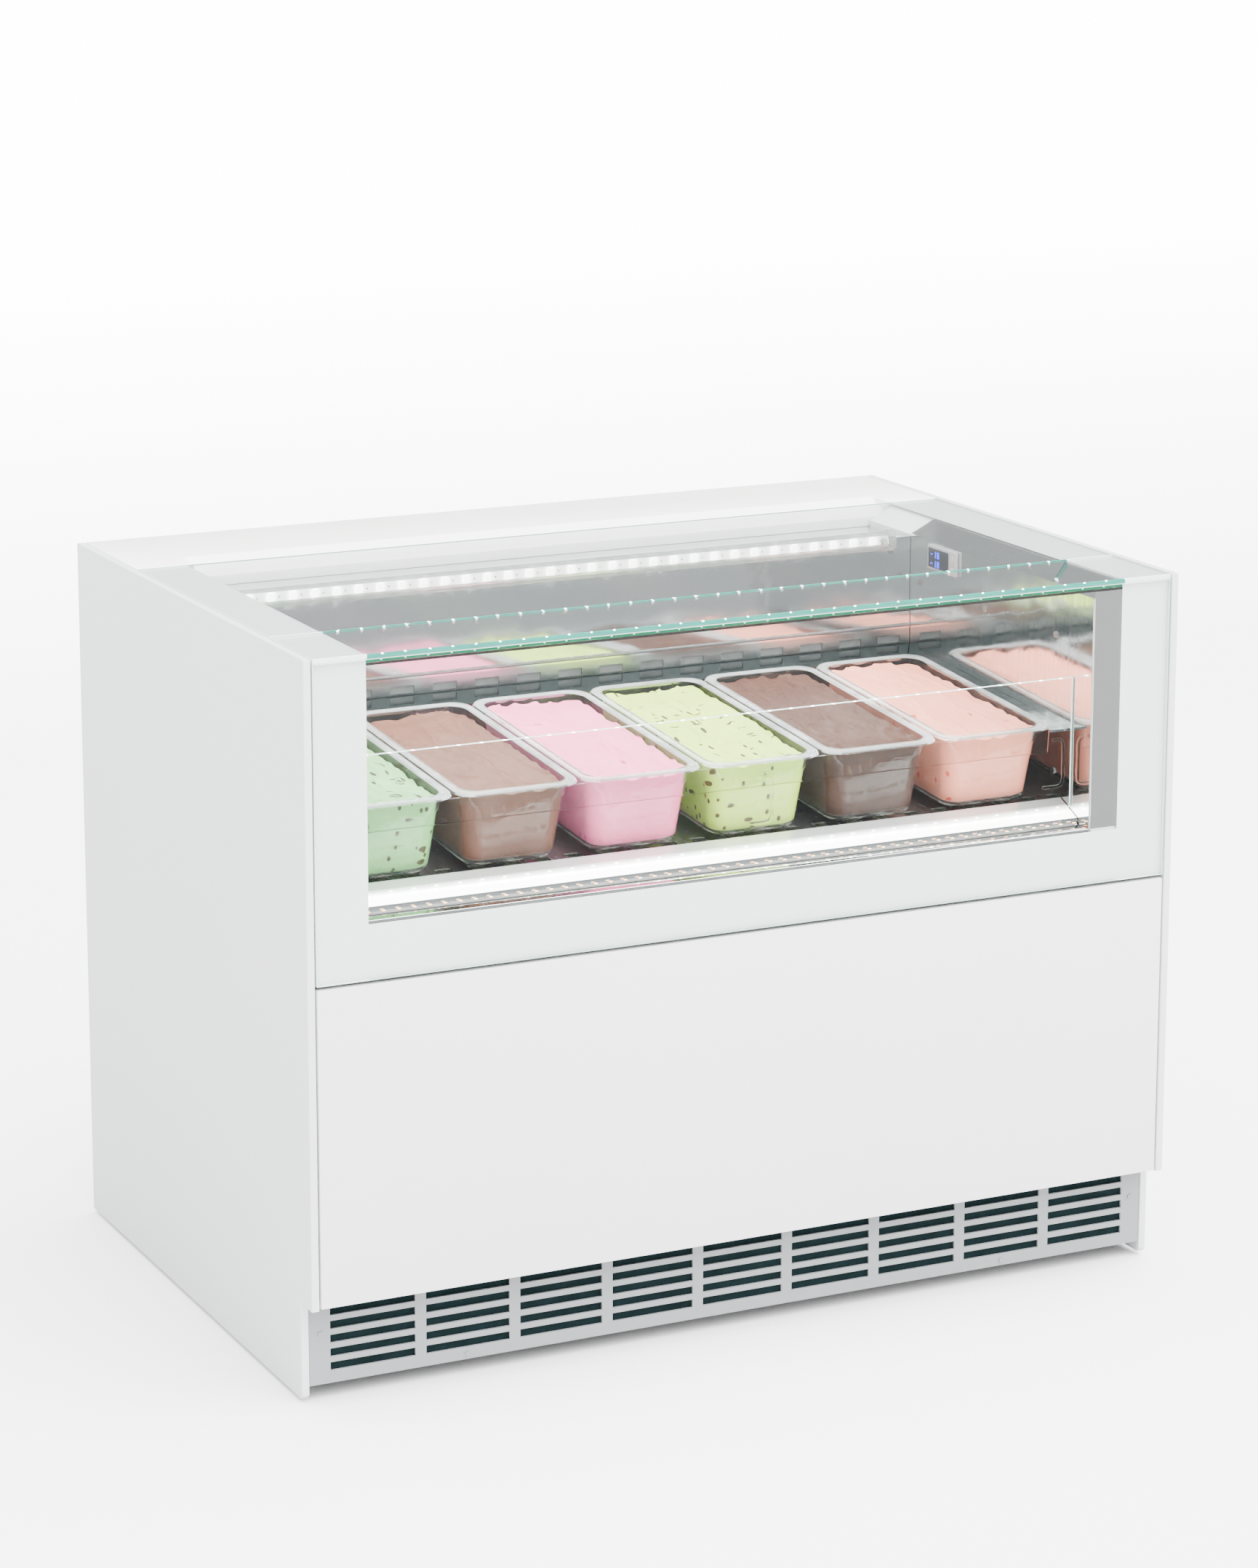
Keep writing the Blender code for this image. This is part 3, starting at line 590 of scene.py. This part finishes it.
def buildGlass():
    half, thick, top, face = panes["half"], panes["thick"], cadHigh[2], panes["face"]
    split, topFront, topBack = panes["split"], panes["topFront"], panes["topBack"]
    body = "front_glass_assembly"
    under = top - thick - 0.0003
    buildPane("frontPane", (-half, face, panes["foot"]), (half, face + thick, under), body,
              "front_glass", ("plainEdge", "plainEdge"), 1)
    buildPane("frontTopPane", (-half, face, top - thick), (half, split, top), body,
              "front_top_pane", ("frontEdge", "jointEdge"), 2)
    buildPane("topPane", (-half, topFront, top - thick), (half, topBack, top), "top_pane",
              "top_glass", ("jointEdge", "plainEdge"), 2)

    left, right, foot = panes["clearLeft"], panes["clearRight"], panes["clearFoot"]
    edge, border, sheet = half - panes["inset"], panes["border"], panes["printed"]
    roof = top - thick - 0.0004
    bm = bmesh.new()
    low = panes["foot"] + 0.001
    outline = [(-edge, low), (edge, low), (edge, roof), (right, roof), (right, foot), (left, foot),
               (left, roof), (-edge, roof)]
    addSheet(bm, outline, border, sheet)
    finish("frontBorder", bm, body, "print")
    lip = border + sheet
    gap = panes["jointGap"]    # the print stops this far from the joint
    for name, x0, x1, y0, y1, owner in (
            ("frontTopBorderLeft", -edge, left, lip, split - gap, body),
            ("frontTopBorderRight", right, edge, lip, split - gap, body),
            ("topBorderLeft", -edge, left, topFront + gap, topBack - gap, "top_pane"),
            ("topBorderRight", panes["topRight"], edge, topFront + gap, topBack - gap, "top_pane")):
        bm = bmesh.new()
        addBox(bm, (x0, y0, roof), (x1, y1, roof + sheet))
        finish(name, bm, owner, "print")
    dress("satin", "glass_hinge_profile")

    bm = bmesh.new()    # glue line under the upper pane's lip, and a painted shadow line below it
    for mat, (low, high) in enumerate(panes["glue"]):
        addBox(bm, (left, border, roof - low), (right, border + 0.0004, roof - high), mat)
    finish("glueLine", bm, body, ["glueLine", "gap"])

    bm = bmesh.new()    # soft strip behind the lower edge of the pane
    addBox(bm, *panes["seal"], 0, 0.0015, 2)
    finish("lowerSeal", bm, "cabinet", "seal")
    print("glass built")


pans = {"first": -0.45975, "pitch": 0.1675, "front": (-0.336, 0.727), "slope": radians(4.4),
        "wide": 0.165, "long": 0.360, "deep": 0.100, "rim": 0.012, "wall": 0.0020,
        "draft": 0.019, "corner": 0.023, "foot": 0.0075, "shoulder": (-0.020, -0.0225, 0.0030)}


def panMatrix(k):
    slope = pans["slope"]
    x = pans["first"] + k * pans["pitch"]
    y = pans["front"][0] + pans["long"] / 2 * cos(slope)
    z = pans["front"][1] + pans["long"] / 2 * sin(slope)
    return Matrix.Translation((x, y, z)) @ Matrix.Rotation(slope, 4, "X")


def buildPan(k):
    wide, long, deep, rim = pans["wide"], pans["long"], pans["deep"], pans["rim"]
    draft = pans["draft"]
    bm = bmesh.new()
    inner = Vector((wide - 2 * rim, long - 2 * rim, deep))
    place = Matrix.Translation((0, 0, -deep / 2)) @ Matrix.Diagonal((*inner, 1))
    bmesh.ops.create_cube(bm, size=1.0, matrix=place)
    low = [v for v in bm.verts if v.co.z < -deep / 2]
    taper = ((inner.x - draft) / inner.x, (inner.y - draft) / inner.y, 1)
    bmesh.ops.scale(bm, vec=taper, verts=low)
    upright = [e for e in bm.edges if abs(e.verts[0].co.z - e.verts[1].co.z) > deep / 2]
    bmesh.ops.bevel(bm, geom=upright, offset=pans["corner"], affect="EDGES", segments=6,
                    profile=0.5, material=-1)
    lid = [f for f in bm.faces if all(v.co.z > -0.0001 for v in f.verts)]
    bmesh.ops.delete(bm, geom=lid, context="FACES_ONLY")
    floorEdges = [e for e in bm.edges if all(v.co.z < -deep + 0.0001 for v in e.verts)]
    bmesh.ops.bevel(bm, geom=floorEdges, offset=pans["foot"], affect="EDGES", segments=4,
                    profile=0.5, material=-1)
    upper, lower, step = pans["shoulder"]    # the pans stack on this small step
    for z in (upper, lower):
        bmesh.ops.bisect_plane(bm, geom=bm.verts[:] + bm.edges[:] + bm.faces[:], dist=1e-6,
                               plane_co=(0, 0, z), plane_no=(0, 0, 1))
    under = [v for v in bm.verts if v.co.z < (upper + lower) / 2]
    bmesh.ops.scale(bm, vec=(1 - step / inner.x, 1 - step / inner.y, 1), verts=under)
    edges = [e for e in bm.edges if e.is_boundary]
    reach = -2 * rim    # flange: flat, a shallow groove, flat again, then the lip turned down
    for out, drop in ((-rim, 0.0), (-rim * 0.75, 0.0012), (-rim * 0.5, 0.0), (-0.003, 0.0),
                      (0.0, 0.0030)):
        made = bmesh.ops.extrude_edge_only(bm, edges=edges)["geom"]
        moved = fresh(made)
        grow = ((wide + out) / (wide + reach), (long + out) / (long + reach), 1)
        bmesh.ops.scale(bm, vec=grow, verts=moved)
        for vert in moved:
            vert.co.z = -drop
        edges = rimOf(made)
        reach = out
    bmesh.ops.recalc_face_normals(bm, faces=bm.faces)
    bmesh.ops.solidify(bm, geom=bm.faces[:], thickness=pans["wall"])
    bmesh.ops.translate(bm, verts=bm.verts, vec=(0, 0, -0.0001))
    bm.normal_update()
    for face in bm.faces:    # the rim's flat flange has its own frosted finish
        centre = face.calc_center_median()
        face.material_index = int(centre.z > -0.0036 and abs(face.normal.z) > 0.5)
    bmesh.ops.transform(bm, matrix=panMatrix(k), verts=bm.verts)
    finish("pan%dClear" % (k + 1), bm, "pan_body_%d" % (k + 1), ["pan", "panRim"],
           ("pan_%d" % (k + 1),), smooth=40)


# pull a point of a rectangle, half sizes a and b, inside corners of radius r
def roundCorner(x, y, a, b, r):
    cx, cy = a - r, b - r
    if abs(x) > cx and abs(y) > cy:
        p, q = (abs(x) - cx) / r, (abs(y) - cy) / r
        u, v = p * (1 - q * q / 2) ** 0.5, q * (1 - p * p / 2) ** 0.5
        x = (cx + u * r) * (1 if x > 0 else -1)
        y = (cy + v * r) * (1 if y > 0 else -1)
    return x, y


ice = {"gap": 0.0026, "corner": 0.021, "grid": (52, 120), "level": -0.0100, "highest": -0.0045,
       "walls": ((-0.022, 0.0009), (-0.040, 0.0030), (-0.060, 0.0050), (-0.080, 0.0069),
                 (-0.0915, 0.0082), (-0.0968, 0.0150))}    # depth and how far in it stands there


# scooped surface: swells, drag marks of the spatula, creases, and a ragged climb at the wall
def iceLevel(x, y, k, near):
    spot = Vector((x * 20, y * 7, k * 3.7))
    swell = noise.noise(spot) * 0.0036
    drag = noise.noise(Vector((x * 70 + 3 * swell, y * 16, k * 5.1)))
    crease = 1 - abs(noise.noise(Vector((x * 34 + 1.5, y * 11 + 0.6 * drag, k * 2.3 + 9))))
    fine = noise.fractal(Vector((x * 150, y * 150, k)), 1.0, 2.0, 3) * 0.00035
    z = ice["level"] + swell + drag * 0.0011 + max(0.0, crease - 0.84) * 0.017 + fine
    z += 0.0016 * noise.noise(Vector((x * 5, y * 3, k * 8.0 + 2)))
    if near < 0.007:
        z += (0.007 - near) * (0.22 + 0.5 * noise.noise(Vector((x * 60, y * 60, k * 1.9))))
    return min(z, ice["highest"])


def buildIce(k, name):
    a, b = (pans[side] / 2 - pans["rim"] - ice["gap"] for side in ("wide", "long"))
    bm = bmesh.new()
    across, along = ice["grid"]
    bmesh.ops.create_grid(bm, x_segments=across, y_segments=along, size=0.5)
    for vert in bm.verts:
        x, y = vert.co.x * 2 * a, vert.co.y * 2 * b
        near = min(a - abs(x), b - abs(y))
        x, y = roundCorner(x, y, a, b, ice["corner"])
        vert.co = (x, y, iceLevel(x, y, k, near))
    edges = [e for e in bm.edges if e.is_boundary]
    last = 0.0
    for depth, inset in ice["walls"]:
        made = bmesh.ops.extrude_edge_only(bm, edges=edges)["geom"]
        moved = fresh(made)
        shrink = ((a - inset) / (a - last), (b - inset) / (b - last), 1)
        bmesh.ops.scale(bm, vec=shrink, verts=moved)
        for vert in moved:
            vert.co.z = depth
        edges = rimOf(made)
        last = inset
    bmesh.ops.contextual_create(bm, geom=edges)
    bmesh.ops.recalc_face_normals(bm, faces=bm.faces)
    for face in bm.faces:
        face.material_index = int(abs(face.normal.z) < 0.35)
    bmesh.ops.transform(bm, matrix=panMatrix(k), verts=bm.verts)
    finish("ice" + name.title().replace("_", ""), bm, "pan_body_%d" % (k + 1),
           [name, name + "Side"], ("gelato_" + name,), smooth=60)


def buildPans():
    for k, name in enumerate(ices):
        buildPan(k)
        buildIce(k, name)
    print("pans filled")


lamps = {"y": 0.055, "z": 0.9015, "left": -0.505, "right": 0.425, "pitch": 0.030, "radius": 0.013,
         "wall": 0.0012, "first": 0.015, "half": 0.0045, "inset": 0.002,
         "board": (0.0035, 0.0055, 0.006), "lamp": (0.0010, 0.0034),
         "resistor": ((0.0105, 0.0029, -0.0012), (0.0125, 0.0034, 0.0006)),
         "strip": ((-0.555, -0.3705, 0.6034), (0.471, -0.3637, 0.6062)), "stripPitch": 0.020,
         "stripFirst": -0.551, "stripLength": 1.02, "stripLamp": (0.0045, 0.0033, 0.0012)}


def buildLamps():
    y, z, left, right = lamps["y"], lamps["z"], lamps["left"], lamps["right"]
    bm = bmesh.new()
    addRod(bm, lamps["radius"], right - left, ((left + right) / 2, y, z), "X", 32)
    ends = [f for f in bm.faces if abs(f.normal.x) > 0.9]
    bmesh.ops.delete(bm, geom=ends, context="FACES_ONLY")
    bmesh.ops.recalc_face_normals(bm, faces=bm.faces)
    bmesh.ops.solidify(bm, geom=bm.faces[:], thickness=lamps["wall"])
    finish("lampTube", bm, "cabinet", "tube", ("led_tube",), smooth=40)

    bm = bmesh.new()    # board, its lamps and a small part after each lamp
    front, back, tall = lamps["board"]
    inset, half = lamps["inset"], lamps["half"]
    addBox(bm, (left + inset, front, -tall), (right - inset, back, tall), 0, 0.0004, 1)
    near, far = lamps["lamp"]
    (x0, y0, z0), (x1, y1, z1) = lamps["resistor"]
    for k in range(int((right - left - 0.02) / lamps["pitch"]) + 1):
        x = left + lamps["first"] + k * lamps["pitch"]
        addBox(bm, (x - half, near, -half), (x + half, far, half), 1, 0.0010, 2)
        addBox(bm, (x + x0, y0, z0), (x + x1, y1, z1), 2)
    bmesh.ops.translate(bm, verts=bm.verts, vec=(0, y, z))
    finish("lampBoard", bm, "cabinet", ["lampBoard", "lamp", "black"], ("led_board",))
    eased("lampCapLeft", "led_cap_left", "cabinet", "tube", 0.0015, 2)
    eased("lampCapRight", "led_cap_right", "cabinet", "tube", 0.0015, 2)

    bm = bmesh.new()    # strip of small lamps in the sill
    low, high = lamps["strip"]
    addBox(bm, low, high, 0, 0.0006, 1)
    base = Vector((0, low[1] + 0.001, high[2] + 0.0001))
    for k in range(int(lamps["stripLength"] / lamps["stripPitch"]) + 1):
        base.x = lamps["stripFirst"] + k * lamps["stripPitch"]
        addBox(bm, base, base + Vector(lamps["stripLamp"]), 1, 0.0004, 1)
    finish("sillLamps", bm, "cabinet", ["stripBoard", "stripLamp"],
           ("front_led_strip",))
    print("lamps lit")


cavity = {"hooks": (0.0465, 0.4690), "hookSize": (0.030, 0.062), "hookPlace": (-0.3405, 0.6500),
          "hookBar": 0.0045, "bead": (0.0024, 0.7815), "mesh": (0.0797, 0.0805, 0.735, 0.776),
          "return": ((0.4800, -0.3930, 0.6035), (0.5225, -0.3924, 0.9130)),
          "screw": (0.0042, 0.0016), "clips": (-0.30, -0.04, 0.22), "clipFace": 0.0772,
          "clipHeights": ((0.0, 0.842), (0.02, 0.640)), "wallFace": 0.4792,
          "wallScrews": ((-0.30, -0.12, 0.05), (0.66, 0.84))}


# a rounded bracket like a square D, open towards the pans
def buildHook(bm, x):
    wide, tall = cavity["hookSize"]
    y, z = cavity["hookPlace"]
    corners = [(x - wide, y, z), (x, y, z), (x, y, z + tall), (x - wide * 0.55, y, z + tall)]
    addPipe(bm, rounded(corners, 0.010), cavity["hookBar"] / 2)


def buildCavity():
    dress("mirror", "liner_left", "liner_right", "duct_cover")
    dress("rearSteel", "liner_rear")
    dress("railSteel", "pan_rail")
    dress("deck", "cavity_deck")
    sill = eased("sillSteel", "front_sill", "cabinet", ["mirror", "sillPaintedLight"], 0.0012, 3)
    for face in sill.data.polygons:    # the slope that takes the painted light of the lamp strip
        face.material_index = int(face.normal.z > 0.85 and face.normal.y < -0.2)
    bm = bmesh.new()    # clear strip behind the front pane, its cut edges with a painted glow and painted glints of the lamps
    addBox(bm, *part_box("air_deflector"), 0, 0.0006, 1)
    for face in bm.faces:
        face.material_index = 0 if abs(face.normal.y) > 0.99 else 1
    finish("guardStrip", bm, "cabinet", ["acrylic", "stripEdge"],
           ("air_deflector",))
    eased("railStrip", "pan_rail_front", "cabinet", "acrylic", 0.0006, 1)

    low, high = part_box("liner_rear")
    bm = bmesh.new()    # folded bead along the rear wall, just over the slots
    radius, height = cavity["bead"]
    centre = ((low[0] + high[0]) / 2, low[1], height)
    addRod(bm, radius, high[0] - low[0] - 0.004, centre, "X", 16)
    finish("rearBead", bm, "cabinet", "mirror", smooth=50)
    bm = bmesh.new()    # fine mesh just behind the slots
    front, back, foot, top = cavity["mesh"]
    addBox(bm, (low[0] + 0.004, front, foot), (high[0] - 0.004, back, top), 0, 0.0002, 1)
    finish("slotMesh", bm, "cabinet", "mesh")

    bm = bmesh.new()    # liner's front return, behind the printed border; its warm tint is a painted reflection of the peach pan beside it
    addBox(bm, *cavity["return"], 0, 0.0002, 1)
    finish("frontReturn", bm, "cabinet", "returnSteel")

    for k, x in enumerate(cavity["hooks"]):    # clear hooks that steady the pan row
        bm = bmesh.new()
        buildHook(bm, x)
        finish("railHook%d" % (k + 1), bm, "cabinet", "acrylic", smooth=40)

    bm = bmesh.new()    # clips and screws that hold the strip and the liner
    for x in cavity["clips"]:
        for aside, z in cavity["clipHeights"]:
            addRod(bm, *cavity["screw"], (x + aside, cavity["clipFace"], z), "Y", 20)
    across, up = cavity["wallScrews"]
    for z in up:
        for y in across:
            addRod(bm, *cavity["screw"], (cavity["wallFace"], y, z), "X", 20)
    finish("linerScrews", bm, "cabinet", "satin", smooth=40)
    print("cavity lined")


display = {"face": 0.4750, "screen": ((-0.033, 0.8690), (0.019, 0.8950)), "rows": (0.8830, 0.8705),
           "number": "-18", "right": 0.012, "digit": (0.00496, 0.0085), "space": 0.0035,
           "stroke": 0.0014, "screenFaces": (0.0012, 0.0001), "digitFaces": (0.0018, 0.00125)}
segments = {"1": "bc", "8": "abcdefg", "-": "g"}    # lit bars: a at the top, g in the middle


def buildDisplay():
    eased("displayCase", "thermostat", "cabinet", "greyPlastic", 0.0008, 2)
    face = display["face"]
    bm = bmesh.new()
    (y0, z0), (y1, z1) = display["screen"]
    near, far = display["screenFaces"]
    addBox(bm, (face - near, y0, z0), (face - far, y1, z1), 0, 0.0004, 1)
    finish("displayScreen", bm, "cabinet", "screen")
    w, h = display["digit"]
    t = display["stroke"]
    bars = {"a": (0, h - t, w, h), "b": (w - t, h / 2, w, h), "c": (w - t, 0, w, h / 2),
            "d": (0, 0, w, t), "e": (0, 0, t, h / 2), "f": (0, h / 2, t, h),
            "g": (0, h / 2 - t / 2, w, h / 2 + t / 2)}
    bm = bmesh.new()
    near, far = display["digitFaces"]
    for base in display["rows"]:
        for k, sign in enumerate(display["number"]):
            right = display["right"] - k * (w + display["space"])    # read from the rear
            for part in segments[sign]:
                x0, z0, x1, z1 = bars[part]
                addBox(bm, (face - near, right - x1, base + z0),
                       (face - far, right - x0, base + z1))
    finish("displayDigits", bm, "cabinet", "digits")
    dress("keys", "button_up", "button_down")
    print("display set")


shell = {"filter": ((-0.586, -0.3585, 0.026), (0.586, -0.3558, 0.146)),
         "screw": (0.0045, 0.0022, 0.0045 * 0.72), "screwFace": 0.3812,
         "screwRows": (0.070, 0.515, 0.548, 0.876), "screwColumns": (-0.575, -0.19, 0.19, 0.575),
         "cross": (0.0022, 0.0004), "crossFace": (0.3820, 0.3826),
         "grilleScrews": ((-0.575, 0.085), (-0.38, 0.0275), (0.38, 0.0275), (0.575, 0.085)),
         "grilleScrew": (0.0036, 0.0014), "grilleFace": -0.3626}


def buildShell():
    dress("board", "side_panel_left", "side_panel_right")
    eased("lowerPanel", "front_panel", "cabinet", "panel", 0.0004, 1)
    dress("grille", "kick_grille")
    bm = bmesh.new()
    addBox(bm, *shell["filter"], 0, 0.0006, 1)
    finish("airFilter", bm, "cabinet", "filter")
    dress("zinc", "base_tray", "condenser_shroud", "evaporator_shroud")
    dress("rubber", "foot_front_left", "foot_front_right", "foot_rear_left", "foot_rear_right")
    dress("sheet", "rear_service_panel", "rear_upper_panel")
    eased("worktopSlab", "worktop", "cabinet", "top", 0.0014, 3, 12)
    dress("foam", "tub_floor", "tub_wall_rear")
    dress("wall", "tub_wall_left", "tub_wall_right")

    bm = bmesh.new()    # screws of the rear panels, heads with a cross
    radius, deep, crown = shell["screw"]
    long, short = shell["cross"]
    front, back = shell["crossFace"]
    for z in shell["screwRows"]:
        for x in shell["screwColumns"]:
            addRod(bm, radius, deep, (x, shell["screwFace"], z), "Y", 24, crown)
            for dx, dz in ((long, short), (short, long)):
                addBox(bm, (x - dx, front, z - dz), (x + dx, back, z + dz), 1)
    finish("rearScrews", bm, "cabinet", ["satin", "black"], smooth=40)

    bm = bmesh.new()
    for x, z in shell["grilleScrews"]:
        addRod(bm, *shell["grilleScrew"], (x, shell["grilleFace"], z), "Y", 20)
    finish("grilleScrews", bm, "cabinet", "grille", smooth=40)

    eased("switchCase", "switch_housing", "cabinet", "black", 0.0009, 2)
    eased("switchRocker", "light_switch", "light_switch_body", "black", 0.0007, 2,
          10)
    dress("black", "power_inlet_gland", "evaporator_fan", "condenser_fan")
    print("shell dressed")


cooling = {"bend": 0.03, "pipes": (
    ("dischargePipe", 0.005, ((0.20, 0.10, 0.252), (0.20, 0.10, 0.330), (0.20, -0.22, 0.330),
                              (0.40, -0.22, 0.330), (0.40, -0.262, 0.330), (0.40, -0.275, 0.300))),
    ("suctionPipe", 0.007, ((0.285, 0.12, 0.226), (0.330, 0.12, 0.280), (0.330, 0.25, 0.420),
                            (0.330, 0.25, 0.5405))))}


def buildCooling():
    dress("fins", "evaporator_coil", "condenser_coil")
    dress("enamel", "compressor")
    dress("greyPlastic", "electrical_box")
    for name, radius, points in cooling["pipes"]:
        bm = bmesh.new()
        addPipe(bm, rounded(points, cooling["bend"]), radius)
        finish(name, bm, "cabinet", "copper", smooth=50)
    print("cooling unit dressed")


buildStudio()
buildGlass()
buildPans()
buildLamps()
buildCavity()
buildDisplay()
buildShell()
buildCooling()
